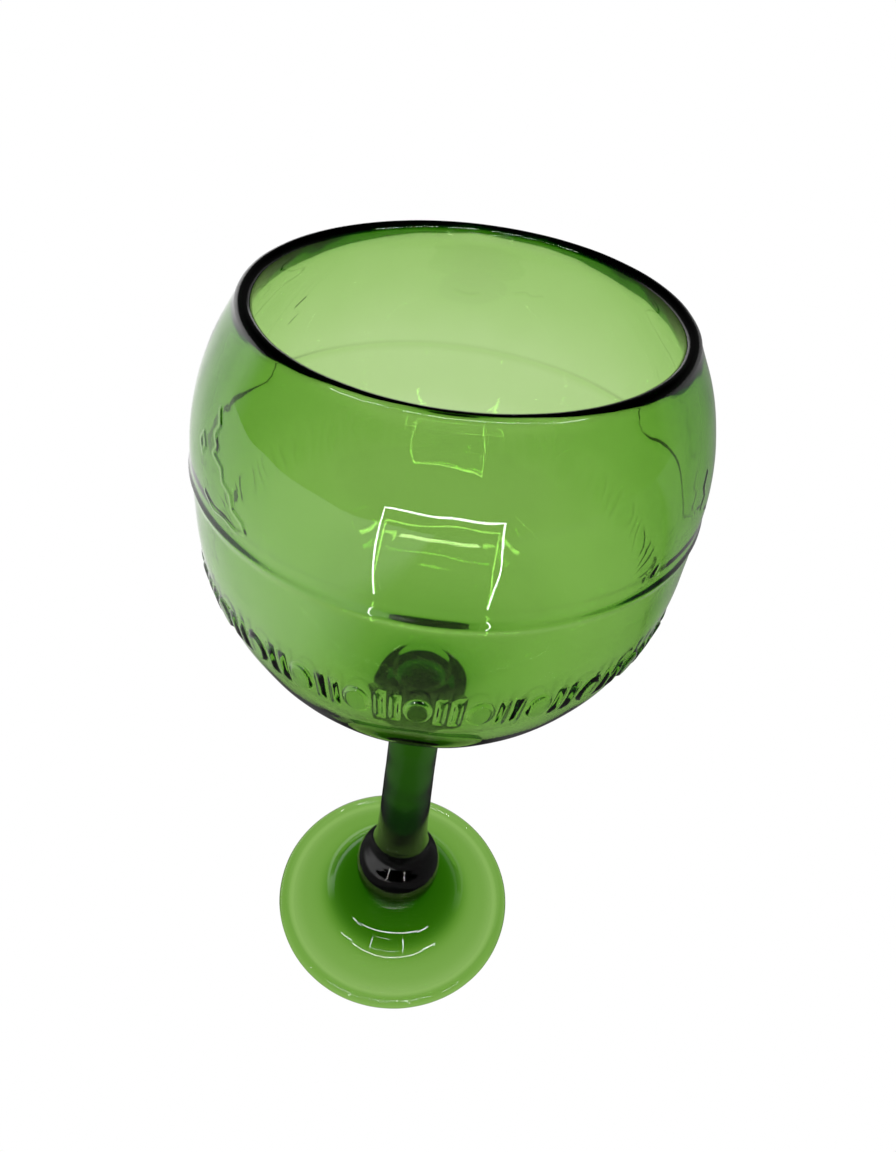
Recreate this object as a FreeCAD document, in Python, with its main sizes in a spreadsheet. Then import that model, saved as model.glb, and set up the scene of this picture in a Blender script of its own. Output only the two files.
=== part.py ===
import FreeCAD, Part

import math
import os

import Sketcher

# A stemmed goblet blown from one green bottle glass and joined hot from five pieces: an open
# globe-shaped bowl, the gather of glass that closes the bowl's neck, a solid drawn stem, the
# gather at the stem's base and a round foot. Millimetres, +Z up, with the origin in the middle
# of the ring that the foot stands on. Every piece is turned about the Z axis.

SIZES = [
    # how the pieces stack up from the ground: each joint stands on the lengths below it
    ("foot_height", 12.6, "height of the joint between the foot and the foot gather"),
    ("bulb_length", 24.4, "length of the foot gather, from joint to joint"),
    ("stem_length", 45.0, "length of the stem, from joint to joint"),
    ("neck_length", 22.4, "length of the neck gather, from joint to joint"),
    # the foot: from its edge a brim, a hollow rise, a low dome and a hollow up to the joint
    ("foot_radius", 37.0, "outside radius of the foot"),
    ("foot_edge", 2.1, "radius of the foot's rounded edge"),
    ("stand_width", 2.9, "width of the flat ring that the foot stands on"),
    ("foot_kick", 2.2, "rise of the hollow under the foot, on the axis"),
    ("brim_height", 4.9, "height of the foot's upper face where it starts to rise"),
    ("brim_round", 90.0, "radius of the brim's slight crown"),
    ("rise_width", 6.1, "width of the rise between the brim and the dome"),
    ("rise_round", 8.2, "radius of the hollow between the brim and the dome"),
    ("dome_width", 4.7, "width of the dome, from the rise to the hollow above it"),
    ("dome_drop", 2.3, "how far the dome falls towards the rise"),
    ("dome_round", 7.0, "radius of the dome's rounding"),
    ("foot_neck_width", 3.6, "width of the hollow between the dome and the joint above"),
    ("foot_neck_drop", 2.7, "how far that hollow falls from the joint to the dome"),
    ("foot_neck_round", 4.2, "radius of that hollow"),
    # the foot gather: a knop, and a hollow up to the stem
    ("foot_neck_radius", 10.6, "radius of the joint between the foot and the foot gather"),
    ("knop_step", 2.3, "how far the knop stands out of its joint with the foot"),
    ("knop_rise", 8.9, "height of the knop's widest part over its joint with the foot"),
    ("knop_top", 8.3, "height of the knop's rounding over its widest part"),
    ("bulb_step", 2.3, "how far the knop stands out of the stem where its rounding ends"),
    ("bulb_hollow", 10.6, "radius of the hollow between the knop and the stem"),
    # the stem
    ("stem_base_radius", 7.7, "radius of the stem at its joint with the foot gather"),
    ("stem_top_radius", 6.7, "radius of the stem at its joint with the neck gather"),
    # the neck gather
    ("neck_radius", 11.5, "radius of the joint between the neck gather and the bowl"),
    ("collar_step", 0.4, "how much wider the collar is than the joint with the bowl"),
    ("collar_drop", 7.9, "how far the collar lies below the joint with the bowl"),
    ("collar_round", 9.0, "radius of the hollow below the collar"),
    ("waist_step", 0.5, "how far the waist stands out of the stem"),
    ("waist_rise", 7.8, "height of the waist over the joint with the stem"),
    # the bowl: a globe with a short straight belt, open at the top
    ("globe_radius", 50.0, "outside radius of the belt, the widest part of the bowl"),
    ("globe_wall", 2.8, "thickness of the bowl's wall at the belt and at the rim"),
    ("flare_step", 2.8, "how far the flare stands out of the neck"),
    ("flare_rise", 4.6, "height of the flare over the joint with the neck gather"),
    ("flare_round", 5.2, "radius of the hollow round of the flare"),
    ("floor_rise", 6.8, "thickness of the bowl's floor, on the axis"),
    ("lower_height", 57.1, "height of the lower globe, from the neck's joint to the belt"),
    ("belt_width", 11.5, "height of the straight belt"),
    ("upper_height", 29.1, "height of the upper globe, from the belt to the middle of the rim"),
    ("rim_radius", 39.3, "radius of the middle of the rim bead, from the axis"),
    ("rim_bead", 1.6, "radius of the fire-polished bead round the mouth"),
    # relief on the bowl
    ("ring_drop", 1.4, "how far the mould ring lies below the top of the belt"),
    ("ring_width", 2.4, "width of the raised mould ring along the wall"),
    ("relief_proud", 0.5, "how far the ring and the frieze stand out of the wall"),
    ("relief_root", 0.9, "how deep the ring and the frieze are rooted in the wall"),
    ("frieze_drop", 8.1, "how far the frieze lies below the belt"),
    ("frieze_width", 7.4, "height of the frieze"),
    ("frieze_repeats", 28, "number of bead-and-reel repeats round the bowl"),
    ("bead_turn", 0.0, "turn from the X axis to the first bead of the frieze, in degrees"),
    ("bead_angle", 5.0, "turn taken up by one bead of the frieze, in degrees"),
    ("reel_angle", 1.5, "turn taken up by one reel of the frieze, in degrees"),
    ("reel_spread", 3.2, "turn between the two reels of a pair, in degrees"),
]

# Heights over the ground, built from the lengths in the sheet.
STEM_BASE = "( foot_height + bulb_length )"
STEM_TOP = f"( {STEM_BASE} + stem_length )"
NECK_TOP = f"( {STEM_TOP} + neck_length )"
BELT_LOW = f"( {NECK_TOP} + lower_height )"
BELT_HIGH = f"( {BELT_LOW} + belt_width )"
RIM_HEIGHT = f"( {BELT_HIGH} + upper_height )"
RING_HEIGHT = f"( {BELT_HIGH} - ring_drop )"
KNOP_HEIGHT = "( foot_height + knop_rise )"
FRIEZE_HIGH = f"( {BELT_LOW} - frieze_drop )"
FRIEZE_LOW = f"( {FRIEZE_HIGH} - frieze_width )"

# The reels stand in pairs, halfway between one bead of the frieze and the next.
HALF_REPEAT = "180 / frieze_repeats"

# The lower globe is one arc that ends straight up at the belt, so its centre is level with it,
# and off the axis by GLOBE_OFFSET.
FLARE_RADIUS = "( neck_radius + flare_step )"
FLARE_HEIGHT = f"( {NECK_TOP} + flare_rise )"
GLOBE_OFFSET = (
    f"( ( globe_radius ^ 2 - {FLARE_RADIUS} ^ 2 - ( lower_height - flare_rise ) ^ 2 )"
    f" / ( 2 * ( globe_radius - {FLARE_RADIUS} ) ) )"
)

FULL_TURN = 360
ON_AXIS = "0"
ON_GROUND = "0"

# numbers that the sketcher gives to the ends and the centre of a line or arc, and to its axes
START = 1
END = 2
CENTRE = 3
ORIGIN = (-1, 1)
AXIS_OF = {"DistanceX": -2, "DistanceY": -1}
SKETCH_UP = FreeCAD.Vector(0, 1, 0)

# a chord whose middle is nearer than this share of the radius to the centre is a full half turn
SMALL_SHARE = 0.001

aliases = {alias for alias, size, meaning in SIZES}
document = FreeCAD.newDocument("goblet")
sheet = document.addObject("Spreadsheet::Sheet", "Sheet")
for row, (alias, size, meaning) in enumerate(SIZES, start=1):
    sheet.set(f"A{row}", alias)
    sheet.set(f"B{row}", str(size))
    sheet.set(f"C{row}", meaning)
    sheet.setAlias(f"B{row}", alias)
document.recompute()


def sized(text):
    """Turn words that are aliases into references to the sheet's cells."""
    words = []
    for word in text.split():
        words.append(f"Sheet.{word}" if word in aliases else word)
    return " ".join(words)


def value_of(text):
    """Work out an expression over the sheet's cells as a number."""
    return float(sheet.evalExpression(sized(text)))


def origin_plane(body, role):
    """Find one of a body's own origin planes or axes by its role."""
    return next(item for item in body.Origin.OriginFeatures if item.Role == role)


def arc_centre(first, last, bend):
    """Find the centre of an arc between two points of a profile.

    The bend says what else is known: ("level", height of the centre), ("across", its distance
    from the axis), or ("left" or "right", the radius), with the centre on that side of the way
    from the first point to the last.
    """
    kind, text = bend
    known = value_of(text)
    chord_x = last.x - first.x
    chord_y = last.y - first.y
    middle_x = (first.x + last.x) / 2
    middle_y = (first.y + last.y) / 2
    if kind == "level":
        return FreeCAD.Vector(middle_x - chord_y * (known - middle_y) / chord_x, known, 0)
    if kind == "across":
        return FreeCAD.Vector(known, middle_y - chord_x * (known - middle_x) / chord_y, 0)
    length = math.hypot(chord_x, chord_y)
    away = math.sqrt(known ** 2 - (length / 2) ** 2)
    side = 1 if kind == "left" else -1
    return FreeCAD.Vector(middle_x - side * away * chord_y / length,
                          middle_y + side * away * chord_x / length, 0)


def arc_geometry(first, last, centre):
    """Make the shorter arc, or for a half circle the one that faces away from the axis."""
    middle = (first + last) / 2
    radius = (first - centre).Length
    outward = middle - centre
    if outward.Length < radius * SMALL_SHARE:
        outward = FreeCAD.Vector(1, 0, 0)
    outward.normalize()
    return Part.Arc(first, centre + outward * radius, last)


def fix_size(sketch, constraint, text):
    """Add a dimension to a sketch and bind it to the sheet."""
    number = sketch.addConstraint(constraint)
    sketch.setExpression(f"Constraints[{number}]", sized(text))


def fix_point(sketch, geometry, end, across, height):
    """Tie one end of a line or arc to its distance from the axis and its height."""
    for kind, text in (("DistanceX", across), ("DistanceY", height)):
        if text in (ON_AXIS, ON_GROUND):
            sketch.addConstraint(Sketcher.Constraint("PointOnObject", geometry, end, AXIS_OF[kind]))
        else:
            fix_size(sketch, Sketcher.Constraint(kind, *ORIGIN, geometry, end, value_of(text)), text)


def draw_profile(body, name, outline):
    """Draw a closed profile in the body's XZ plane.

    Each entry of the outline is (distance from the axis, height, bend), where the bend shapes
    the stretch from that point to the next one and is None for a straight line.
    """
    sketch = body.newObject("Sketcher::SketchObject", name)
    sketch.AttachmentSupport = [(origin_plane(body, "XZ_Plane"), "")]
    sketch.MapMode = "FlatFace"
    points = [FreeCAD.Vector(value_of(across), value_of(height), 0) for across, height, _ in outline]
    starts = []
    ends = []
    for index, (across, height, bend) in enumerate(outline):
        first = points[index]
        last = points[(index + 1) % len(points)]
        if bend is None:
            geometry = sketch.addGeometry(Part.LineSegment(first, last), False)
        else:
            centre = arc_centre(first, last, bend)
            geometry = sketch.addGeometry(arc_geometry(first, last, centre), False)
        to_start = (sketch.getPoint(geometry, START) - first).Length
        to_end = (sketch.getPoint(geometry, END) - first).Length
        forwards = to_start < to_end
        starts.append((geometry, START if forwards else END))
        ends.append((geometry, END if forwards else START))
        fix_point(sketch, geometry, starts[-1][1], across, height)
    for index, (geometry, end) in enumerate(ends):
        following, start = starts[(index + 1) % len(starts)]
        sketch.addConstraint(Sketcher.Constraint("Coincident", geometry, end, following, start))
    for (geometry, _), (_, _, bend) in zip(starts, outline):
        if bend is None:
            continue
        kind, text = bend
        if kind == "level":
            shape = Sketcher.Constraint("DistanceY", *ORIGIN, geometry, CENTRE, value_of(text))
        elif text == ON_AXIS:
            on_axis = Sketcher.Constraint("PointOnObject", geometry, CENTRE, AXIS_OF["DistanceX"])
            sketch.addConstraint(on_axis)
            continue
        elif kind == "across":
            shape = Sketcher.Constraint("DistanceX", *ORIGIN, geometry, CENTRE, value_of(text))
        else:
            shape = Sketcher.Constraint("Radius", geometry, value_of(text))
        fix_size(sketch, shape, text)
    return sketch


def turn_about_axis(body, name, sketch, turn=None):
    """Turn a sketch about the Z axis, all the way or by an angle to both sides of its plane."""
    feature = body.newObject("PartDesign::Revolution", name)
    feature.Profile = sketch
    feature.ReferenceAxis = (sketch, ["V_Axis"])
    feature.Angle = FULL_TURN
    if turn is not None:
        feature.Midplane = True
        feature.setExpression("Angle", sized(turn))
    return feature


def turned(body, name, outline, turn=None):
    """Draw a profile and turn it about the Z axis."""
    sketch = draw_profile(body, name + "_profile", outline)
    return turn_about_axis(body, name, sketch, turn)


def new_piece(name):
    """Start a piece of the goblet, whose label names its file."""
    body = document.addObject("PartDesign::Body", name)
    body.Label = name
    return body


def globe_surface(drop, beyond):
    """How far from the axis the lower globe's surface is below the belt, plus or minus a little."""
    reach = f"sqrt( ( globe_radius - {GLOBE_OFFSET} ) ^ 2 - ( {drop} ) ^ 2 )"
    return f"{GLOBE_OFFSET} + {reach} {beyond}"


def frieze_outline():
    """Outline one raised mark, which follows the globe and is rooted in its wall."""
    top = "frieze_drop"
    bottom = "frieze_drop + frieze_width"
    return [
        (globe_surface(bottom, "- relief_root"), FRIEZE_LOW, None),
        (globe_surface(bottom, "+ relief_proud"), FRIEZE_LOW, ("level", BELT_LOW)),
        (globe_surface(top, "+ relief_proud"), FRIEZE_HIGH, None),
        (globe_surface(top, "- relief_root"), FRIEZE_HIGH, None),
    ]


def turned_bead(body, name, across, height, radius):
    """Turn a full circle about the Z axis, for a rounded bead."""
    sketch = body.newObject("Sketcher::SketchObject", name + "_profile")
    sketch.AttachmentSupport = [(origin_plane(body, "XZ_Plane"), "")]
    sketch.MapMode = "FlatFace"
    middle = FreeCAD.Vector(value_of(across), value_of(height), 0)
    circle = sketch.addGeometry(Part.Circle(middle, FreeCAD.Vector(0, 0, 1), value_of(radius)), False)
    fix_point(sketch, circle, CENTRE, across, height)
    fix_size(sketch, Sketcher.Constraint("Radius", circle, value_of(radius)), radius)
    turn_about_axis(body, name, sketch)


def repeated_marks(body, name, turn, place):
    """Raise one mark of the frieze, turned to its place, then repeat it round the bowl."""
    mark = turned(body, name, frieze_outline(), turn)
    sketch = mark.Profile[0]
    to_place = FreeCAD.Rotation(SKETCH_UP, value_of(place))
    sketch.AttachmentOffset = FreeCAD.Placement(FreeCAD.Vector(), to_place)
    sketch.setExpression("AttachmentOffset.Rotation.Angle", sized(place))
    pattern = body.newObject("PartDesign::PolarPattern", name + "s")
    pattern.Originals = [mark]
    pattern.Axis = (origin_plane(body, "Z_Axis"), [""])
    pattern.Angle = FULL_TURN
    pattern.setExpression("Occurrences", sized("frieze_repeats"))
    body.Tip = pattern


def make_bowl():
    """Open globe with a rounded rim, a raised mould ring and a frieze of beads and reels."""
    body = new_piece("bowl")
    turned(body, "globe", [
        (ON_AXIS, f"{NECK_TOP} + floor_rise", None),
        (ON_AXIS, NECK_TOP, None),
        ("neck_radius", NECK_TOP, ("right", "flare_round")),
        (FLARE_RADIUS, FLARE_HEIGHT, ("level", BELT_LOW)),
        ("globe_radius", BELT_LOW, None),
        ("globe_radius", BELT_HIGH, ("level", BELT_HIGH)),
        ("rim_radius + globe_wall / 2", RIM_HEIGHT, None),
        ("rim_radius - globe_wall / 2", RIM_HEIGHT, ("level", BELT_HIGH)),
        ("globe_radius - globe_wall", BELT_HIGH, None),
        ("globe_radius - globe_wall", BELT_LOW, ("across", ON_AXIS)),
    ])
    turned_bead(body, "rim", "rim_radius", RIM_HEIGHT, "rim_bead")
    turned(body, "mould_ring", [
        ("globe_radius - relief_root", f"{RING_HEIGHT} - ring_width / 2", None),
        ("globe_radius", f"{RING_HEIGHT} - ring_width / 2", ("level", RING_HEIGHT)),
        ("globe_radius + relief_proud", RING_HEIGHT, ("level", RING_HEIGHT)),
        ("globe_radius", f"{RING_HEIGHT} + ring_width / 2", None),
        ("globe_radius - relief_root", f"{RING_HEIGHT} + ring_width / 2", None),
    ])
    repeated_marks(body, "frieze_bead", "bead_angle", "bead_turn")
    repeated_marks(body, "frieze_left_reel", "reel_angle", f"bead_turn + {HALF_REPEAT} - reel_spread / 2")
    repeated_marks(body, "frieze_right_reel", "reel_angle", f"bead_turn + {HALF_REPEAT} + reel_spread / 2")
    return body


def make_neck_gather():
    """The lump of glass that closes the bowl's neck, with a collar, and narrows to the stem."""
    body = new_piece("neck_gather")
    turned(body, "neck", [
        (ON_AXIS, NECK_TOP, None),
        (ON_AXIS, STEM_TOP, None),
        ("stem_top_radius", STEM_TOP, None),
        ("stem_top_radius + waist_step", f"{STEM_TOP} + waist_rise", ("right", "collar_round")),
        ("neck_radius + collar_step", f"{NECK_TOP} - collar_drop", None),
        ("neck_radius", NECK_TOP, None),
    ])
    return body


def make_stem():
    """Solid drawn rod, a little thicker towards the foot."""
    body = new_piece("stem")
    turned(body, "rod", [
        (ON_AXIS, STEM_TOP, None),
        (ON_AXIS, STEM_BASE, None),
        ("stem_base_radius", STEM_BASE, None),
        ("stem_top_radius", STEM_TOP, None),
    ])
    return body


def make_foot_gather():
    """The knop of glass that joins the stem to the foot."""
    body = new_piece("foot_gather")
    turned(body, "knop", [
        (ON_AXIS, STEM_BASE, None),
        (ON_AXIS, "foot_height", None),
        ("foot_neck_radius", "foot_height", ("level", KNOP_HEIGHT)),
        ("foot_neck_radius + knop_step", KNOP_HEIGHT, ("level", KNOP_HEIGHT)),
        ("stem_base_radius + bulb_step", f"{KNOP_HEIGHT} + knop_top", ("right", "bulb_hollow")),
        ("stem_base_radius", STEM_BASE, None),
    ])
    return body


def make_foot():
    """Round foot with a rounded edge, a shallow hollow below and a low dome above."""
    dome_inside = "foot_neck_radius + foot_neck_width"
    dome_outside = f"{dome_inside} + dome_width"
    dome_top = "foot_height - foot_neck_drop"
    body = new_piece("foot")
    turned(body, "disc", [
        (ON_AXIS, "foot_height", None),
        (ON_AXIS, "foot_kick", ("across", ON_AXIS)),
        ("foot_radius - foot_edge - stand_width", ON_GROUND, None),
        ("foot_radius - foot_edge", ON_GROUND, ("across", "foot_radius - foot_edge")),
        ("foot_radius - foot_edge", "2 * foot_edge", ("left", "brim_round")),
        (f"{dome_outside} + rise_width", "brim_height", ("right", "rise_round")),
        (dome_outside, f"{dome_top} - dome_drop", ("left", "dome_round")),
        (dome_inside, dome_top, ("right", "foot_neck_round")),
        ("foot_neck_radius", "foot_height", None),
    ])
    return body


bodies = [make_bowl(), make_neck_gather(), make_stem(), make_foot_gather(), make_foot()]
document.recompute()

failed = [item.Label for item in document.Objects if {"Invalid", "Error"} & set(item.State)]
if failed:
    raise RuntimeError(f"these features failed: {failed}")
for body in bodies:
    if body.Shape.isNull() or not body.Shape.isValid() or len(body.Shape.Solids) != 1:
        raise RuntimeError(f"{body.Label} isn't one sound solid")

os.makedirs("parts", exist_ok=True)
for body in bodies:
    body.Shape.exportStep(f"parts/{body.Label}.step")
    print(body.Label, round(body.Shape.Volume), "mm3")
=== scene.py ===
"""Stemmed goblet of green bottle glass: an open moulded globe on a drawn stem and a round foot."""

import math

import bmesh
import bpy
from bpy.props import (
    FloatProperty,
    FloatVectorProperty,
    IntProperty,
    PointerProperty,
)
from mathutils import Matrix, Vector, noise


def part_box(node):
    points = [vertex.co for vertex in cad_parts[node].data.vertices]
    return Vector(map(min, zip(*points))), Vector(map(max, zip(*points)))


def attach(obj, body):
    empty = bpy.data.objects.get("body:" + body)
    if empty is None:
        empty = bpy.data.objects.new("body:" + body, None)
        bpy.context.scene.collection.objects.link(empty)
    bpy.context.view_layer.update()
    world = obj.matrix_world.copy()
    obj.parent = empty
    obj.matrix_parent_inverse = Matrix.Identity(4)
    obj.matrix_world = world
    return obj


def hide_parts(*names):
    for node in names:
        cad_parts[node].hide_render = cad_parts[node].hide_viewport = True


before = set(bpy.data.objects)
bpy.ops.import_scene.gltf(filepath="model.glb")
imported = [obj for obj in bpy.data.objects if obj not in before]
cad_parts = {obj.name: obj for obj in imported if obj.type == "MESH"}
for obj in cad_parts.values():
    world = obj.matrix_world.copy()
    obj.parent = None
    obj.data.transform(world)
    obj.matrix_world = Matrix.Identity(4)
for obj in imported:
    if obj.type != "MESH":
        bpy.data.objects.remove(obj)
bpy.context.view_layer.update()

bl_info = {
    "name": "Bottle Glass Goblet",
    "version": (1, 0, 0),
    "blender": (4, 5, 0),
    "location": "View3D > Sidebar > Goblet",
    "description": "Turns a stemmed goblet from five fused pieces of green bottle glass",
    "category": "Add Mesh",
}

BOWL_LOW, BOWL_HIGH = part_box("bowl")
NECK_LOW, NECK_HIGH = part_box("neck_gather")
STEM_LOW, STEM_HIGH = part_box("stem")
BULB_LOW, BULB_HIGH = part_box("foot_gather")
FOOT_LOW, FOOT_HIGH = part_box("foot")

MM = 0.001
FULL_TURN = 2 * math.pi
SEAM_GAP = 0.01 * MM
SHARP_CORNER = math.radians(50)
FUSED = "fused"

# roughness of the dullest spots on each piece, least on the fire-polished bowl
HAZE = {"bowl": 0.03, "neck_gather": 0.06, "stem": 0.2, "foot_gather": 0.12, "foot": 0.04}

# radii of the round faces where the pieces are fused to each other
NECK_JOINT = 10.0 * MM
STEM_TOP_JOINT = 6.7 * MM
STEM_BASE_JOINT = 7.7 * MM
FOOT_JOINT = 10.6 * MM


# ---------------------------------------------------------------- sizes and colours


class GlassSettings(bpy.types.PropertyGroup):
    """The green bottle glass and how unevenly it was worked."""

    bowl_loss: FloatVectorProperty(
        name="Bowl loss", description="How strongly a metre of the bowl's glass takes out red, green and blue",
        size=3, min=0, default=(255, 134, 425))
    stem_loss: FloatVectorProperty(
        name="Stem loss", description="How strongly a metre of the stem's glass takes out red, green and blue",
        size=3, min=0, default=(265, 160, 395))
    foot_loss: FloatVectorProperty(
        name="Gather loss", description="How strongly a metre of the foot's and gathers' glass takes out red, green and blue",
        size=3, min=0, default=(395, 221, 636))
    bend: FloatProperty(
        name="Index of refraction", description="How strongly the glass bends light",
        default=1.52, min=1, max=2)
    wobble: FloatProperty(
        name="Wobble", description="Height of the long waves that hand work leaves in a surface",
        subtype="DISTANCE", unit="LENGTH", default=0.16 * MM)
    ripple: FloatProperty(
        name="Ripple", description="Height of the shorter waves in the glass",
        subtype="DISTANCE", unit="LENGTH", default=0.045 * MM)


class BowlSettings(bpy.types.PropertyGroup):
    """The open globe, its rim, mould ring, frieze and drawn lines."""

    wall: FloatProperty(
        name="Wall", description="Thickness of the wall at the belt and the rim",
        subtype="DISTANCE", unit="LENGTH", default=2.8 * MM)
    relief: FloatProperty(
        name="Relief", description="How far the ring and the frieze stand out of the wall",
        subtype="DISTANCE", unit="LENGTH", default=0.5 * MM)
    ring_relief: FloatProperty(
        name="Ring relief", description="How far the softened mould ring stands out of the wall",
        subtype="DISTANCE", unit="LENGTH", default=0.38 * MM)
    belt_low: FloatProperty(
        name="Belt low", description="Height where the belt meets the lower globe",
        subtype="DISTANCE", unit="LENGTH", default=161.5 * MM)
    belt_high: FloatProperty(
        name="Belt high", description="Height where the belt meets the upper globe",
        subtype="DISTANCE", unit="LENGTH", default=173.0 * MM)
    rim_radius: FloatProperty(
        name="Rim radius", description="Radius of the middle of the rim bead",
        subtype="DISTANCE", unit="LENGTH", default=39.3 * MM)
    rim_bead: FloatProperty(
        name="Rim bead", description="Radius of the fire-polished bead round the mouth",
        subtype="DISTANCE", unit="LENGTH", default=1.6 * MM)
    lean_right: FloatProperty(
        name="Lean to the right", description="How much the rim rises to the right, as hand-cut rims do",
        default=0.0161)
    lean_back: FloatProperty(
        name="Lean to the back", description="How much the rim rises to the back", default=0.0116)
    floor_height: FloatProperty(
        name="Floor", description="Height of the inside of the bowl, on the axis",
        subtype="DISTANCE", unit="LENGTH", default=111.2 * MM)
    flare_radius: FloatProperty(
        name="Flare radius", description="Radius where the globe turns down into its neck",
        subtype="DISTANCE", unit="LENGTH", default=14.3 * MM)
    flare_height: FloatProperty(
        name="Flare height", description="Height where the globe turns down into its neck",
        subtype="DISTANCE", unit="LENGTH", default=109.0 * MM)
    ring_height: FloatProperty(
        name="Mould ring", description="Height of the raised mould ring",
        subtype="DISTANCE", unit="LENGTH", default=171.6 * MM)
    ring_width: FloatProperty(
        name="Ring width", description="Width of the raised mould ring",
        subtype="DISTANCE", unit="LENGTH", default=2.4 * MM)
    frieze_middle: FloatProperty(
        name="Frieze", description="Height of the middle of the bead-and-reel frieze",
        subtype="DISTANCE", unit="LENGTH", default=149.7 * MM)
    frieze_repeats: IntProperty(
        name="Frieze repeats", description="Number of bead-and-reel repeats round the bowl",
        default=28, min=4)


class StageSettings(bpy.types.PropertyGroup):
    """Camera, floor and studio light."""

    back: FloatProperty(
        name="Back", description="How far the camera stands in front of the goblet's axis",
        subtype="DISTANCE", unit="LENGTH", default=145.1 * MM)
    height: FloatProperty(
        name="Height", description="Height of the camera over the floor",
        subtype="DISTANCE", unit="LENGTH", default=262.4 * MM)
    pitch: FloatProperty(
        name="Pitch", description="How far the camera looks down", subtype="ANGLE", default=math.radians(40.16))
    yaw: FloatProperty(
        name="Yaw", description="How far the camera is turned to the right", subtype="ANGLE",
        default=math.radians(1.12))
    roll: FloatProperty(
        name="Roll", description="How far the camera is tipped to the left", subtype="ANGLE",
        default=math.radians(8.17))
    lens: FloatProperty(
        name="Lens", description="Focal length in millimetres on a 36 mm sensor", default=26.46, min=1)
    floor_light: FloatProperty(
        name="Floor light", description="Brightness of the white floor", default=1.0, min=0)
    room_dark: FloatProperty(
        name="Room dark", description="Brightness of the dark part of the room in front and overhead",
        default=0.04, min=0)
    floor_mirrored: FloatProperty(
        name="Floor mirrored", description="Brightness of the floor in the glass's mirror images",
        default=0.1, min=0)
    front_side: FloatProperty(
        name="Front side", description="Brightness of the front in the glass's mirror images",
        default=0.03, min=0)
    right_side: FloatProperty(
        name="Right side", description="Brightness of the right in the glass's mirror images",
        default=0.3, min=0)


# ---------------------------------------------------------------- shared tools


def distance_between(first, last):
    """Straight distance between two points of a profile."""
    return math.hypot(last[0] - first[0], last[1] - first[1])


def arc(centre, first, last, spacing):
    """Points of an arc about a centre, the short way from one point to another."""
    radius = distance_between(centre, first)
    begin = math.atan2(first[1] - centre[1], first[0] - centre[0])
    turn = math.atan2(last[1] - centre[1], last[0] - centre[0]) - begin
    turn = (turn + math.pi) % FULL_TURN - math.pi
    count = max(2, math.ceil(abs(turn) * radius / spacing))
    end_radius = distance_between(centre, last)
    points = []
    for step in range(count + 1):
        share = step / count
        reach = radius + (end_radius - radius) * share
        angle = begin + turn * share
        points.append((centre[0] + reach * math.cos(angle), centre[1] + reach * math.sin(angle)))
    return points


def line(first, last, spacing):
    """Evenly spaced points of a straight stretch."""
    count = max(1, math.ceil(distance_between(first, last) / spacing))
    return [(first[0] + (last[0] - first[0]) * step / count,
             first[1] + (last[1] - first[1]) * step / count) for step in range(count + 1)]


def curve(knots, spacing):
    """A round curve through a few points of a profile."""
    ends = [tuple(2 * a - b for a, b in zip(knots[0], knots[1])),
            tuple(2 * a - b for a, b in zip(knots[-1], knots[-2]))]
    row = [ends[0], *knots, ends[1]]
    points = [knots[0]]
    for before, first, last, after in zip(row, row[1:], row[2:], row[3:]):
        count = max(2, math.ceil(distance_between(first, last) / spacing))
        for step in range(1, count + 1):
            s = step / count
            weights = (-s + 2 * s ** 2 - s ** 3, 2 - 5 * s ** 2 + 3 * s ** 3,
                       s + 4 * s ** 2 - 3 * s ** 3, -s ** 2 + s ** 3)
            points.append(tuple(
                sum(w * p[axis] for w, p in zip(weights, (before, first, last, after))) / 2
                for axis in (0, 1)))
    return points


def joined(*stretches):
    """Join stretches of a profile end to end, without repeating the points they share."""
    points = []
    for stretch in stretches:
        for point in stretch:
            if not points or distance_between(points[-1], point) > 0.02 * MM:
                points.append(point)
    return points


def eased(points, rounds):
    """Soften the corners of a profile a little."""
    for _ in range(rounds):
        inner = [((a[0] + 2 * b[0] + c[0]) / 4, (a[1] + 2 * b[1] + c[1]) / 4)
                 for a, b, c in zip(points, points[1:], points[2:])]
        points = [points[0], *inner, points[-1]]
    return points


def smooth_step(low, high, value):
    """0 below low, 1 above high and a soft rise between."""
    share = min(1.0, max(0.0, (value - low) / (high - low)))
    return share * share * (3 - 2 * share)


def lathe(profile, steps):
    """Spin a profile of (radius, height) points about the Z axis into a closed mesh."""
    bm = bmesh.new()
    verts = [bm.verts.new((radius, 0, height)) for radius, height in profile]
    edges = [bm.edges.new(pair) for pair in zip(verts, verts[1:])]
    bmesh.ops.spin(bm, geom=verts + edges, cent=(0, 0, 0), axis=(0, 0, 1), angle=FULL_TURN,
                   steps=steps, use_merge=True, use_duplicate=False)
    bmesh.ops.remove_doubles(bm, verts=bm.verts, dist=0.002 * MM)
    bmesh.ops.recalc_face_normals(bm, faces=bm.faces)
    return bm


def waves(point, seed, size):
    """Smooth noise of about -1 to 1 that changes over the given distance."""
    return noise.noise(point / size + Vector((seed, 2.3 * seed, -1.7 * seed)))


def uneven(bm, glass, ripple=1.0):
    """Push each vertex in or out a little, the way hand-worked glass waves.

    All pieces share the long waves, so that their fused surfaces run on.
    """
    for vert in bm.verts:
        flat = Vector((vert.co.x, vert.co.y, 0))
        radius = flat.length
        if radius < 0.5 * MM:
            continue
        long_wave = glass.wobble * waves(vert.co, 1.0, 26 * MM)
        short_wave = ripple * glass.ripple * waves(vert.co, 6.0, 7 * MM)
        push = long_wave + short_wave
        fade = smooth_step(0, 6 * MM, radius)
        vert.co += flat / radius * push * fade


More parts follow.
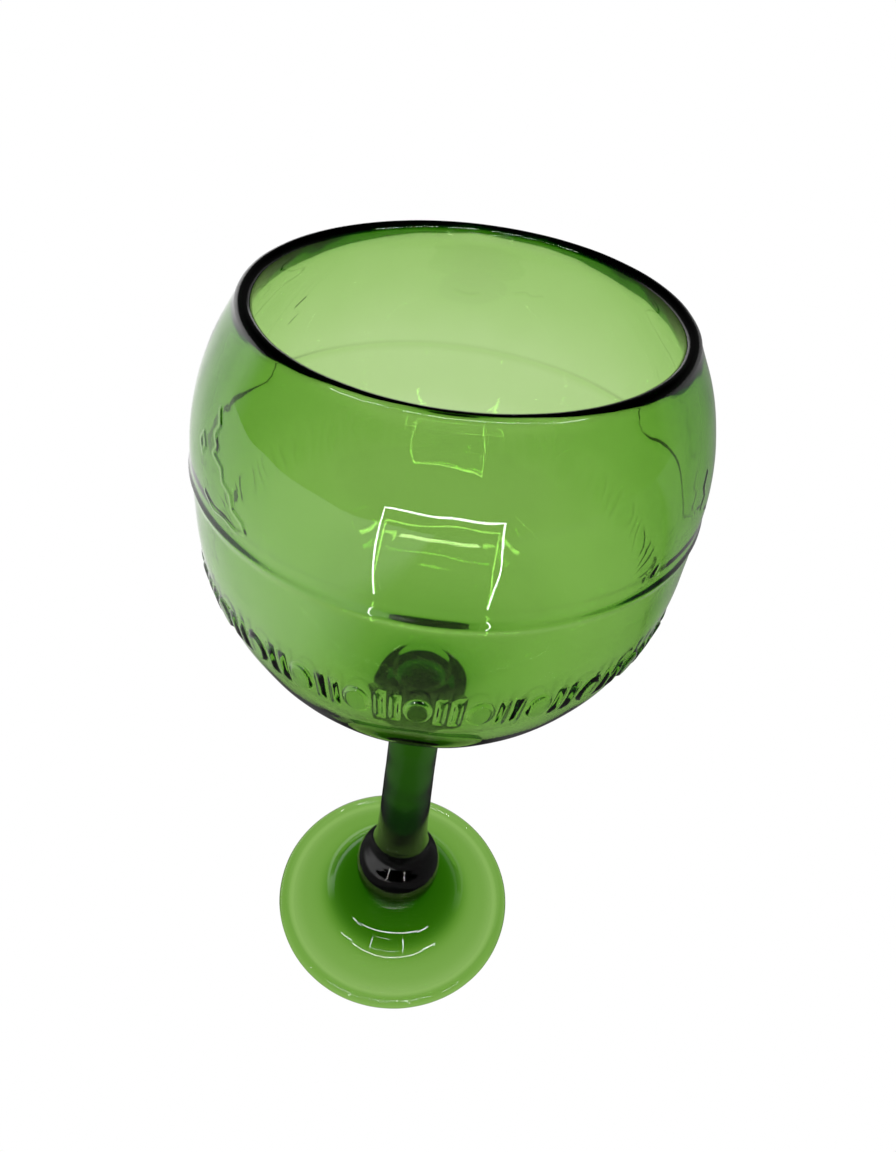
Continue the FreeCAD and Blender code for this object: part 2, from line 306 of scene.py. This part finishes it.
def finish_piece(name, bm, node, slot, seams, loss):
    """Turn a bmesh into a piece that stands for a CAD node.

    seams lists the heights of the flat faces where the piece is fused to its neighbours, and
    loss is what a metre of its glass takes out.
    """
    mesh = bpy.data.meshes.new(name)
    fused = bm.faces.layers.float.new(FUSED)
    for face in bm.faces:
        face.smooth = True
        level = face.calc_center_median().z
        on_seam = any(abs(level - seam) < 0.02 * MM for seam in seams) and abs(face.normal.z) > 0.99
        face[fused] = 1.0 if on_seam else 0.0
    bm.to_mesh(mesh)
    bm.free()
    mesh.set_sharp_from_angle(angle=SHARP_CORNER)
    piece = bpy.data.objects.new(name, mesh)
    bpy.context.scene.collection.objects.link(piece)
    mesh.materials.append(bottle_glass(name, loss, HAZE[node]))
    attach(piece, "root")
    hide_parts(node)
    return piece


# ---------------------------------------------------------------- glass


def add_absorption(material, output, loss):
    """Fill the material with plain absorption, so that thicker glass is deeper green."""
    nodes = material.node_tree.nodes
    inside = nodes.new("ShaderNodeVolumeAbsorption")
    strength = 1.1 * max(loss)
    inside.inputs["Color"].default_value = (*(1 - part / strength for part in loss), 1)
    inside.inputs["Density"].default_value = strength
    material.node_tree.links.new(inside.outputs["Volume"], output.inputs["Volume"])


def bottle_glass(kind, loss, haziest):
    """Clear green glass with a fire-polished surface, faint cords, seeds and finger haze.

    haziest is the roughness of its dullest spots.
    """
    name = "green_" + kind
    if name in bpy.data.materials:
        return bpy.data.materials[name]
    glass = bpy.context.scene.goblet_glass
    material = bpy.data.materials.new(name)
    material.use_nodes = True
    nodes = material.node_tree.nodes
    links = material.node_tree.links
    shader = nodes["Principled BSDF"]
    shader.inputs["Transmission Weight"].default_value = 1
    shader.inputs["IOR"].default_value = glass.bend

    place = nodes.new("ShaderNodeTexCoord")
    haze = nodes.new("ShaderNodeTexNoise")
    haze.inputs["Scale"].default_value = 55
    haze.inputs["Detail"].default_value = 5
    links.new(place.outputs["Object"], haze.inputs["Vector"])
    polish = nodes.new("ShaderNodeMapRange")
    polish.inputs["From Min"].default_value = 0.52
    polish.inputs["From Max"].default_value = 0.8
    polish.inputs["To Min"].default_value = haziest / 2
    polish.inputs["To Max"].default_value = haziest
    links.new(haze.outputs["Fac"], polish.inputs["Value"])
    links.new(polish.outputs["Result"], shader.inputs["Roughness"])

    cords = nodes.new("ShaderNodeTexNoise")
    cords.inputs["Scale"].default_value = 90
    cords.inputs["Detail"].default_value = 3
    cords.inputs["Distortion"].default_value = 0.8
    squeeze = nodes.new("ShaderNodeMapping")
    squeeze.inputs["Scale"].default_value = (1.0, 1.0, 0.45)
    links.new(place.outputs["Object"], squeeze.inputs["Vector"])
    links.new(squeeze.outputs["Vector"], cords.inputs["Vector"])
    seeds = nodes.new("ShaderNodeTexVoronoi")
    seeds.inputs["Scale"].default_value = 140
    links.new(place.outputs["Object"], seeds.inputs["Vector"])
    seed_dots = nodes.new("ShaderNodeMapRange")
    seed_dots.inputs["From Min"].default_value = 0.0
    seed_dots.inputs["From Max"].default_value = 0.06
    seed_dots.inputs["To Min"].default_value = 0.6
    seed_dots.inputs["To Max"].default_value = 0.0
    links.new(seeds.outputs["Distance"], seed_dots.inputs["Value"])
    height = nodes.new("ShaderNodeMath")
    height.operation = "ADD"
    links.new(cords.outputs["Fac"], height.inputs[0])
    links.new(seed_dots.outputs["Result"], height.inputs[1])
    bump = nodes.new("ShaderNodeBump")
    bump.inputs["Strength"].default_value = 0.12
    bump.inputs["Distance"].default_value = 0.1 * MM
    links.new(height.outputs["Value"], bump.inputs["Height"])
    links.new(bump.outputs["Normal"], shader.inputs["Normal"])

    streaks = nodes.new("ShaderNodeTexNoise")
    streaks.inputs["Scale"].default_value = 28
    streaks.inputs["Detail"].default_value = 2
    links.new(squeeze.outputs["Vector"], streaks.inputs["Vector"])
    shade = nodes.new("ShaderNodeMix")
    shade.data_type = "RGBA"
    shade.inputs[6].default_value = (0.96, 0.985, 0.95, 1)
    shade.inputs[7].default_value = (1.0, 1.0, 1.0, 1)
    links.new(streaks.outputs["Fac"], shade.inputs[0])
    links.new(shade.outputs[2], shader.inputs["Base Color"])
    join_seams(nodes, links, shader)
    add_absorption(material, nodes["Material Output"], loss)
    return material


def join_seams(nodes, links, shader):
    """Let light pass straight on where two pieces are fused: the glass is the same on both sides."""
    where = nodes.new("ShaderNodeAttribute")
    where.attribute_name = FUSED
    through = nodes.new("ShaderNodeBsdfTransparent")
    either = nodes.new("ShaderNodeMixShader")
    links.new(where.outputs["Fac"], either.inputs[0])
    links.new(shader.outputs["BSDF"], either.inputs[1])
    links.new(through.outputs["BSDF"], either.inputs[2])
    links.new(either.outputs["Shader"], nodes["Material Output"].inputs["Surface"])


# ---------------------------------------------------------------- the bowl


def globe_shape(bowl):
    """Work out the outer globe: its arcs' centres and a function from height to radius."""
    outer = BOWL_HIGH.x - bowl.relief
    rim_height = BOWL_HIGH.z - bowl.rim_bead
    rim_outer = bowl.rim_radius + bowl.wall / 2
    upper = arc_middle((outer, bowl.belt_high), (rim_outer, rim_height))
    lower = arc_middle((outer, bowl.belt_low), (bowl.flare_radius, bowl.flare_height))

    def radius_at(height):
        if height > bowl.belt_high:
            rise = height - bowl.belt_high
            return upper + math.sqrt(max(0, (outer - upper) ** 2 - rise ** 2))
        if height < bowl.belt_low:
            drop = bowl.belt_low - height
            return lower + math.sqrt(max(0, (outer - lower) ** 2 - drop ** 2))
        return outer

    return upper, lower, radius_at


def arc_middle(level, end):
    """Where the centre of an arc lies that starts straight up or down at level and ends at end."""
    return (level[0] ** 2 - end[0] ** 2 - (level[1] - end[1]) ** 2) / (2 * (level[0] - end[0]))


def bowl_profile(bowl, radius_at, upper, lower):
    """Profile of the open globe, from the middle of its floor round the rim to the neck joint."""
    outer = BOWL_HIGH.x - bowl.relief
    inner = outer - bowl.wall
    rim_height = BOWL_HIGH.z - bowl.rim_bead
    neck = (NECK_JOINT, BOWL_LOW.z + SEAM_GAP)
    bore = 6.8 * MM
    floor = curve([(0, bowl.floor_height - 0.5 * MM), (3.4 * MM, bowl.floor_height - 0.45 * MM),
                   (bore - 1.3 * MM, bowl.floor_height - 0.1 * MM), (bore, bowl.floor_height + 0.8 * MM),
                   (bore + 0.8 * MM, bowl.floor_height + 0.9 * MM),
                   (bore + 2.2 * MM, bowl.floor_height + 1.1 * MM)], 0.4 * MM)
    inner_low = (bowl.belt_low ** 2 - floor[-1][1] ** 2 + inner ** 2 - floor[-1][0] ** 2) / (
        2 * (bowl.belt_low - floor[-1][1]))
    inside = arc((0, inner_low), floor[-1], (inner, bowl.belt_low), 1.6 * MM)
    lip = bowl.rim_radius - bowl.wall / 2 - 0.3 * MM
    inner_up = arc_middle((inner, bowl.belt_high), (lip, rim_height))
    inside_up = arc((inner_up, bowl.belt_high), (inner, bowl.belt_high), (lip, rim_height - 2 * MM), 1.6 * MM)
    centre = (bowl.rim_radius, rim_height)
    bead_inner = (centre[0] - bowl.rim_bead, centre[1])
    bead_top = (centre[0], centre[1] + bowl.rim_bead)
    bead_outer = (centre[0] + bowl.rim_bead, centre[1])
    bead = joined(arc(centre, bead_inner, bead_top, 0.25 * MM), arc(centre, bead_top, bead_outer, 0.25 * MM))
    outside_up = arc((upper, bowl.belt_high), (radius_at(rim_height - 2 * MM), rim_height - 2 * MM),
                     (outer, bowl.belt_high), 1.3 * MM)
    ring_low = bowl.ring_height - bowl.ring_width
    ring_high = bowl.ring_height + bowl.ring_width
    outside_up = [point for point in outside_up if point[1] > ring_high]
    ring = []
    for point in line((outer, ring_high), (outer, ring_low), 0.2 * MM):
        away = abs(point[1] - bowl.ring_height) / (bowl.ring_width / 2)
        ring.append((radius_at(point[1]) + bowl.ring_relief * math.exp(-1.6 * away ** 2), point[1]))
    belt = line((outer, ring_low), (outer, bowl.belt_low), 1.3 * MM)
    outside = arc((lower, bowl.belt_low), (outer, bowl.belt_low),
                  (bowl.flare_radius + 1.5 * MM, bowl.flare_height + 0.75 * MM), 1.3 * MM)
    flare = curve([outside[-1], (12.1 * MM, 107.7 * MM), (10.5 * MM, 106.2 * MM), neck], 0.4 * MM)
    wall = joined(floor, inside, inside_up, bead, outside_up, ring, belt, outside, flare)
    return joined(eased(wall, 2), line(neck, (0, neck[1]), 1.5 * MM))


def frieze_relief(bowl, angle, along):
    """Height of the bead-and-reel frieze, from the turn round the bowl and the way up the wall.

    The mould left it crisp on the front and worn at the back.
    """
    pitch = FULL_TURN / bowl.frieze_repeats
    reach = (BOWL_HIGH.x - bowl.relief) * 0.98
    crisp = smooth_step(-0.35, 0.25, -math.sin(angle))
    edge = (0.75 - 0.4 * crisp) * MM
    tall = 3.6 * MM

    def mark(centre, half_width, height):
        across = ((angle - centre + pitch / 2) % pitch - pitch / 2) * reach
        oval = math.hypot(across / half_width, along / height) if half_width > 1.5 * MM else max(
            abs(across) / half_width, abs(along) / height)
        return 1 - smooth_step(1 - edge / half_width, 1 + edge / half_width, oval)

    bead = mark(0, 2.2 * MM, tall)
    reels = max(mark(pitch / 2 - side * 1.4 * MM / reach, 0.65 * MM, tall) for side in (-1, 1))
    return bowl.relief * (0.4 + 0.6 * crisp) * max(bead, reels)


def drawn_lines():
    """Thin raised lines of the upper bowl, each a list of (turn in degrees, height in mm)."""
    return [
        [(-144, 192), (-142, 190), (-143, 188), (-141, 186.5), (-142, 185), (-138, 184), (-137, 182),
         (-134, 181), (-133, 178.5), (-130, 177.5), (-129, 176), (-132, 174.8), (-136, 175.6),
         (-140, 175), (-144, 176.5)],
        [(-148, 186), (-146, 184.5), (-147, 183), (-149, 184.4), (-148, 186)],
        [(-24, 187), (-26, 185), (-24.5, 183), (-26.5, 181), (-24, 179.3), (-21, 178.7)],
        [(-43, 176.6), (-44, 175), (-42.4, 174.6)],
        [(70, 189), (73, 188.2), (75, 189), (78, 188)],
        [(88, 186.4), (91, 185.8), (95, 186.6)],
        [(140, 188), (143, 186), (141, 184), (144, 182)],
    ]


def line_distance(point, first, last):
    """Distance from a point to a straight stretch, in a flat plane."""
    way = last - first
    share = max(0.0, min(1.0, (point - first).dot(way) / way.length_squared))
    return (point - first - way * share).length


def line_segments(reach):
    """The drawn lines, unrolled to flat stretches of (distance round, height)."""
    segments = []
    for outline in drawn_lines():
        flat = [Vector((math.radians(turn) * reach, height * MM)) for turn, height in outline]
        segments += list(zip(flat, flat[1:]))
    return segments


def nearest_line(segments, place, limit):
    """Distance to the nearest drawn line, or the limit where none is near."""
    best = limit
    for first, last in segments:
        if min(first.x, last.x) - limit < place.x < max(first.x, last.x) + limit:
            best = min(best, line_distance(place, first, last))
    return best


def shape_bowl(glass, bowl):
    """Spin the bowl, refine it where it is carved, then raise its relief and waves."""
    upper, lower, radius_at = globe_shape(bowl)
    profile = bowl_profile(bowl, radius_at, upper, lower)
    bm = lathe(profile, 224)
    reach = BOWL_HIGH.x - bowl.relief
    segments = line_segments(reach)
    frieze_low = bowl.frieze_middle - 4.6 * MM
    frieze_high = bowl.frieze_middle + 4.6 * MM
    relief_top = BOWL_HIGH.z - 6 * MM
    relief_low = 120 * MM

    def outside(point):
        radius = math.hypot(point.x, point.y)
        return relief_low < point.z < relief_top and radius > radius_at(point.z) - bowl.wall / 2

    carved = []
    for face in bm.faces:
        middle = face.calc_center_median()
        if not outside(middle):
            continue
        place = Vector((math.atan2(middle.y, middle.x) * reach, middle.z))
        in_frieze = frieze_low < middle.z < frieze_high
        if in_frieze or nearest_line(segments, place, 2.4 * MM) < 2.4 * MM:
            carved.append(face)
    edges = list({edge for face in carved for edge in face.edges})
    bmesh.ops.subdivide_edges(bm, edges=edges, cuts=3, use_grid_fill=True)

    for vert in bm.verts:
        if not outside(vert.co) or abs(vert.co.z - bowl.ring_height) < bowl.ring_width * 1.01:
            continue
        height = vert.co.z
        angle = math.atan2(vert.co.y, vert.co.x)
        slope = (radius_at(height + 0.5 * MM) - radius_at(height - 0.5 * MM)) / MM
        normal = Vector((1, -slope)).normalized()
        raise_by = 0
        if frieze_low - MM < height < frieze_high + MM:
            along = (height - bowl.frieze_middle) * math.sqrt(1 + slope ** 2)
            raise_by = frieze_relief(bowl, angle, along)
        place = Vector((angle * reach, height))
        near = nearest_line(segments, place, 1.2 * MM)
        raise_by = max(raise_by, 0.13 * MM * (1 - smooth_step(0.12 * MM, 0.62 * MM, near)))
        radius = radius_at(height) + normal.x * raise_by
        vert.co = Vector((radius * math.cos(angle), radius * math.sin(angle), height + normal.y * raise_by))
    uneven(bm, glass, 2.0)
    for vert in bm.verts:
        lean = bowl.lean_right * vert.co.x + bowl.lean_back * vert.co.y
        vert.co.z += lean * smooth_step(bowl.belt_high, BOWL_HIGH.z, vert.co.z)
    return bm


# ---------------------------------------------------------------- gathers, stem and foot


def neck_profile():
    """Profile of the neck gather, from its upper joint over its collar down to the stem's joint."""
    top = (NECK_JOINT, NECK_HIGH.z - SEAM_GAP)
    low = (STEM_TOP_JOINT, NECK_LOW.z + SEAM_GAP)
    side = curve([top, (9.5 * MM, 101.6 * MM), (9.7 * MM, 99.2 * MM), (10.9 * MM, 97.4 * MM),
                  (10.9 * MM, 96.2 * MM), (8.9 * MM, 93.9 * MM), (7.7 * MM, 91.3 * MM),
                  (7.15 * MM, 88.2 * MM), (6.85 * MM, 85.0 * MM), low], 0.5 * MM)
    return joined(line((0, top[1]), top, 1.5 * MM), side, line(low, (0, low[1]), 1.5 * MM))


def stem_profile():
    """Profile of the drawn rod, with the soft swellings of a hand-pulled stem."""
    top = (STEM_TOP_JOINT, STEM_HIGH.z - SEAM_GAP)
    low = (STEM_BASE_JOINT, STEM_LOW.z + SEAM_GAP)
    side = curve([top, (6.73 * MM, 78.5 * MM), (6.80 * MM, 74.8 * MM), (6.84 * MM, 70.5 * MM),
                  (6.97 * MM, 64.8 * MM), (7.03 * MM, 58.5 * MM), (7.18 * MM, 52.4 * MM),
                  (7.30 * MM, 46.0 * MM), (7.50 * MM, 40.5 * MM), low], 0.8 * MM)
    return joined(line((0, top[1]), top, 1.5 * MM), side, line(low, (0, low[1]), 1.5 * MM))


def knop_profile():
    """Profile of the foot gather: a hollow below the stem, then a knop with an undercut."""
    top = (STEM_BASE_JOINT, BULB_HIGH.z - SEAM_GAP)
    low = (FOOT_JOINT, BULB_LOW.z + SEAM_GAP)
    side = curve([top, (8.0 * MM, 34.4 * MM), (8.8 * MM, 31.9 * MM), (10.1 * MM, 29.6 * MM),
                  (11.6 * MM, 27.1 * MM), (12.6 * MM, 24.4 * MM), (12.9 * MM, 21.5 * MM),
                  (12.7 * MM, 18.5 * MM), (12.0 * MM, 15.6 * MM), (11.1 * MM, 13.5 * MM), low], 0.5 * MM)
    return joined(line((0, top[1]), top, 1.5 * MM), side, line(low, (0, low[1]), 1.5 * MM))


def foot_profile():
    """Profile of the foot: joint, dome, rise, brim, rolled edge and the shallow hollow below."""
    joint = (FOOT_JOINT, FOOT_HIGH.z - SEAM_GAP)
    edge = 2.1 * MM
    edge_middle = (FOOT_HIGH.x - edge, edge)
    edge_top = (edge_middle[0], 2 * edge)
    edge_out = (FOOT_HIGH.x, edge)
    edge_low = (edge_middle[0], 0)
    top = curve([joint, (11.1 * MM, 12.1 * MM), (12.6 * MM, 11.5 * MM), (14.8 * MM, 11.0 * MM),
                 (17.4 * MM, 10.2 * MM), (19.4 * MM, 9.0 * MM), (20.8 * MM, 7.7 * MM), (22.1 * MM, 6.5 * MM),
                 (24.0 * MM, 5.4 * MM), (26.2 * MM, 4.8 * MM), (29.4 * MM, 4.2 * MM),
                 (32.4 * MM, 3.3 * MM), (33.7 * MM, 3.4 * MM), edge_top], 0.45 * MM)
    rim = joined(arc(edge_middle, edge_top, edge_out, 0.3 * MM), arc(edge_middle, edge_out, edge_low, 0.3 * MM))
    under = curve([edge_low, (32.0 * MM, 0.02 * MM), (26 * MM, 0.75 * MM), (14 * MM, 1.75 * MM),
                   (0, 2.2 * MM)], 0.8 * MM)
    return joined(line((0, joint[1]), joint, 1.5 * MM), top, rim, under)


# ---------------------------------------------------------------- operators


class GOBLET_OT_bowl(bpy.types.Operator):
    """Turn the open globe with its rim, mould ring, frieze and drawn lines"""

    bl_idname = "goblet.bowl"
    bl_label = "Bowl"

    def execute(self, context):
        bm = shape_bowl(context.scene.goblet_glass, context.scene.goblet_bowl)
        finish_piece("bowl_glass", bm, "bowl", "bottle_glass", [BOWL_LOW.z + SEAM_GAP],
                     context.scene.goblet_glass.bowl_loss)
        return {"FINISHED"}


class GOBLET_OT_stem(bpy.types.Operator):
    """Turn the neck gather, the drawn stem and the foot gather"""

    bl_idname = "goblet.stem"
    bl_label = "Stem and gathers"

    def execute(self, context):
        glass = context.scene.goblet_glass
        pieces = (
            ("neck_gather_glass", neck_profile(), "neck_gather", "bottle_glass", NECK_LOW.z, NECK_HIGH.z),
            ("stem_glass", stem_profile(), "stem", "stem_glass", STEM_LOW.z, STEM_HIGH.z),
            ("foot_gather_glass", knop_profile(), "foot_gather", "stem_glass", BULB_LOW.z, BULB_HIGH.z),
        )
        for name, profile, node, slot, low, high in pieces:
            bm = lathe(profile, 128)
            uneven(bm, glass)
            loss = glass.foot_loss if node == "foot_gather" else glass.stem_loss
            finish_piece(name, bm, node, slot, [low + SEAM_GAP, high - SEAM_GAP], loss)
        return {"FINISHED"}


class GOBLET_OT_foot(bpy.types.Operator):
    """Turn the round foot"""

    bl_idname = "goblet.foot"
    bl_label = "Foot"

    def execute(self, context):
        bm = lathe(foot_profile(), 224)
        uneven(bm, context.scene.goblet_glass)
        finish_piece("foot_glass", bm, "foot", "stem_glass", [FOOT_HIGH.z - SEAM_GAP],
                     context.scene.goblet_glass.foot_loss)
        return {"FINISHED"}


class GOBLET_OT_stage(bpy.types.Operator):
    """Set up the camera, the pale floor and the soft studio light"""

    bl_idname = "goblet.stage"
    bl_label = "Stage"

    def execute(self, context):
        stage = context.scene.goblet_stage
        make_camera(stage)
        make_floor(stage)
        make_room(stage)
        make_lamps()
        light_paths(context.scene)
        return {"FINISHED"}


# ---------------------------------------------------------------- camera, floor and light


def make_camera(stage):
    """Stand the camera close above and in front, looking down into the mouth."""
    data = bpy.data.cameras.new("camera")
    data.lens = stage.lens
    data.sensor_width = 36
    data.clip_start = 0.005
    data.clip_end = 50
    camera = bpy.data.objects.new("camera", data)
    bpy.context.scene.collection.objects.link(camera)
    forward = Vector((math.sin(stage.yaw) * math.cos(stage.pitch),
                      math.cos(stage.yaw) * math.cos(stage.pitch), -math.sin(stage.pitch)))
    level = Vector((math.cos(stage.yaw), -math.sin(stage.yaw), 0))
    upright = level.cross(forward)
    right = level * math.cos(stage.roll) + upright * math.sin(stage.roll)
    above = right.cross(forward)
    turn = Matrix((right, above, -forward)).transposed()
    camera.matrix_world = Matrix.Translation((0, -stage.back, stage.height)) @ turn.to_4x4()
    bpy.context.scene.camera = camera


def smooth_between(nodes, links, value, low, high):
    """A Map Range node that rises softly from 0 at low to 1 at high."""
    rise = nodes.new("ShaderNodeMapRange")
    rise.interpolation_type = "SMOOTHSTEP"
    rise.inputs["From Min"].default_value = low
    rise.inputs["From Max"].default_value = high
    links.new(value, rise.inputs["Value"])
    return rise.outputs["Result"]


def combined(nodes, links, operation, first, second):
    """A Math node of two values, each a socket or a number."""
    node = nodes.new("ShaderNodeMath")
    node.operation = operation
    for socket, value in zip(node.inputs, (first, second)):
        if isinstance(value, (int, float)):
            socket.default_value = value
        else:
            links.new(value, socket)
    return node.outputs["Value"]


def mirrored_light(nodes, links, lit, split, stage):
    """How bright the surroundings are in the glass's mirror images, where lit runs from 0 to 1.

    They are dimmer at the back on the right. Seen directly or through the glass they are white.
    """
    path = nodes.new("ShaderNodeLightPath")
    right = smooth_between(nodes, links, split.outputs["X"], 0.0, 0.1)
    behind = smooth_between(nodes, links, split.outputs["Y"], 0.0, 0.1)
    corner = combined(nodes, links, "MULTIPLY", right, behind)
    dimmed = combined(nodes, links, "MULTIPLY", corner, 1 - stage.right_side)
    side = combined(nodes, links, "SUBTRACT", 1.0, dimmed)
    light = combined(nodes, links, "MULTIPLY", lit, side)
    light = combined(nodes, links, "MAXIMUM", light, stage.front_side)
    return path.outputs["Is Reflection Ray"], light


def make_floor(stage):
    """A wide white table top that glows evenly, as on a light table, where it is seen directly or through the
    glass. In the glass's mirror images it is dim in front, darker still close to the goblet as painted shade of
    the goblet on the table, and bright to the left and behind.
    """
    bm = bmesh.new()
    bmesh.ops.create_grid(bm, x_segments=1, y_segments=1, size=6)
    mesh = bpy.data.meshes.new("floor")
    bm.to_mesh(mesh)
    bm.free()
    floor = bpy.data.objects.new("floor", mesh)
    bpy.context.scene.collection.objects.link(floor)
    material = bpy.data.materials.new("light_table")
    material.use_nodes = True
    nodes = material.node_tree.nodes
    links = material.node_tree.links
    nodes.remove(nodes["Principled BSDF"])
    place = nodes.new("ShaderNodeTexCoord")
    split = nodes.new("ShaderNodeSeparateXYZ")
    links.new(place.outputs["Object"], split.inputs["Vector"])
    squeeze = nodes.new("ShaderNodeMapping")
    squeeze.inputs["Scale"].default_value = (2.5, 1, 1)
    links.new(place.outputs["Object"], squeeze.inputs["Vector"])
    away = nodes.new("ShaderNodeVectorMath")
    away.operation = "LENGTH"
    links.new(squeeze.outputs["Vector"], away.inputs[0])
    # painted shade of the goblet on the table, seen only in the glass's mirror images: the floor is darker
    # close to the foot and brighter past it
    past_shade = smooth_between(nodes, links, away.outputs["Value"], 0.07, 0.13)
    general = combined(nodes, links, "MULTIPLY", past_shade, stage.floor_mirrored)
    left = smooth_between(nodes, links, split.outputs["X"], -0.05, -0.2)
    behind = smooth_between(nodes, links, split.outputs["Y"], 0.04, 0.12)
    beside = combined(nodes, links, "MAXIMUM", left, behind)
    lit = combined(nodes, links, "MAXIMUM", general, beside)
    is_mirrored, light = mirrored_light(nodes, links, lit, split, stage)
    brightness = nodes.new("ShaderNodeMix")
    brightness.inputs[2].default_value = stage.floor_light
    links.new(is_mirrored, brightness.inputs[0])
    links.new(light, brightness.inputs[3])
    glow = nodes.new("ShaderNodeEmission")
    glow.inputs["Color"].default_value = (1, 1, 1, 1)
    links.new(brightness.outputs[0], glow.inputs["Strength"])
    links.new(glow.outputs["Emission"], nodes["Material Output"].inputs["Surface"])
    mesh.materials.append(material)


def make_room(stage):
    """White walls round the table, with the dark room overhead and in front.

    Looked at directly, the backdrop is white all round.
    """
    world = bpy.data.worlds.new("room")
    bpy.context.scene.world = world
    world.use_nodes = True
    nodes = world.node_tree.nodes
    links = world.node_tree.links
    place = nodes.new("ShaderNodeTexCoord")
    split = nodes.new("ShaderNodeSeparateXYZ")
    links.new(place.outputs["Generated"], split.inputs["Vector"])
    overhead = smooth_between(nodes, links, split.outputs["Z"], 0.35, 0.6)
    in_front = smooth_between(nodes, links, split.outputs["Y"], -0.35, -0.6)
    dark = combined(nodes, links, "MAXIMUM", overhead, in_front)
    darkened = combined(nodes, links, "MULTIPLY", dark, 1 - stage.room_dark)
    seen = combined(nodes, links, "SUBTRACT", 1.0, darkened)
    behind = smooth_between(nodes, links, split.outputs["Y"], 0.0, 0.4)
    low_down = smooth_between(nodes, links, split.outputs["Z"], 0.3, 0.1)
    lit = combined(nodes, links, "MULTIPLY", behind, low_down)
    is_mirrored, light = mirrored_light(nodes, links, lit, split, stage)
    mirrored = combined(nodes, links, "MULTIPLY", seen, light)
    brightness = nodes.new("ShaderNodeMix")
    links.new(is_mirrored, brightness.inputs[0])
    links.new(seen, brightness.inputs[2])
    links.new(mirrored, brightness.inputs[3])
    path = nodes.new("ShaderNodeLightPath")
    backdrop = combined(nodes, links, "MAXIMUM", brightness.outputs[0], path.outputs["Is Camera Ray"])
    links.new(backdrop, nodes["Background"].inputs["Strength"])
    nodes["Background"].inputs["Color"].default_value = (1, 1, 1, 1)


def add_lamp(name, place, aim, width, height, power):
    """Add a soft rectangular lamp that faces a point."""
    data = bpy.data.lights.new(name, "AREA")
    data.shape = "RECTANGLE"
    data.size = width
    data.size_y = height
    data.energy = power
    lamp = bpy.data.objects.new(name, data)
    bpy.context.scene.collection.objects.link(lamp)
    place = Vector(place)
    lamp.location = place
    lamp.rotation_mode = "QUATERNION"
    lamp.rotation_quaternion = (Vector(aim) - place).to_track_quat("-Z", "Y")


def make_lamps():
    """A thin lit frame in front of the bowl, open at the bottom, and a row of tubes above it."""
    front = -0.245
    half = 0.093
    high = 0.207
    low = 0.028
    middle = (high + low) / 2
    thick = 0.003
    add_lamp("frame_top", (0, front, high), (0, 0, high), 2 * half, thick, 0.045)
    add_lamp("frame_left", (-half, front, middle), (-half, 0, middle), thick, high - low, 0.045)
    add_lamp("frame_right", (half, front, middle), (half, 0, middle), thick, high - low, 0.045)
    away = -0.42
    above = 0.75
    aim = (0, 0, 0)
    add_lamp("tube_middle", (0, away, above), aim, 0.96, 0.03, 2.27)
    add_lamp("tube_left", (-0.64, away, above), aim, 0.24, 0.035, 0.66)
    add_lamp("tube_right", (0.64, away, above), aim, 0.24, 0.045, 0.85)


def light_paths(scene):
    """Let light pass through many glass surfaces, and show colours as they are."""
    scene.cycles.max_bounces = 40
    scene.cycles.transmission_bounces = 40
    scene.cycles.glossy_bounces = 12
    scene.cycles.sample_clamp_indirect = 12
    scene.view_settings.view_transform = "Standard"


# ---------------------------------------------------------------- panel and registration


class GOBLET_PT_panel(bpy.types.Panel):
    """Lists the goblet's pieces and its stage"""

    bl_idname = "GOBLET_PT_panel"
    bl_label = "Bottle Glass Goblet"
    bl_space_type = "VIEW_3D"
    bl_region_type = "UI"
    bl_category = "Goblet"

    def draw(self, context):
        for operator in OPERATORS:
            self.layout.operator(operator.bl_idname)


SETTINGS = (("goblet_glass", GlassSettings), ("goblet_bowl", BowlSettings), ("goblet_stage", StageSettings))
OPERATORS = (GOBLET_OT_stage, GOBLET_OT_bowl, GOBLET_OT_stem, GOBLET_OT_foot)


def register():
    for name, group in SETTINGS:
        bpy.utils.register_class(group)
        setattr(bpy.types.Scene, name, PointerProperty(type=group))
    for operator in OPERATORS:
        bpy.utils.register_class(operator)
    bpy.utils.register_class(GOBLET_PT_panel)


def unregister():
    bpy.utils.unregister_class(GOBLET_PT_panel)
    for operator in reversed(OPERATORS):
        bpy.utils.unregister_class(operator)
    for name, group in reversed(SETTINGS):
        delattr(bpy.types.Scene, name)
        bpy.utils.unregister_class(group)


def main():
    """Make every piece and the stage."""
    register()
    bpy.ops.goblet.stage()
    bpy.ops.goblet.bowl()
    bpy.ops.goblet.stem()
    bpy.ops.goblet.foot()


if __name__ == "__main__":
    main()
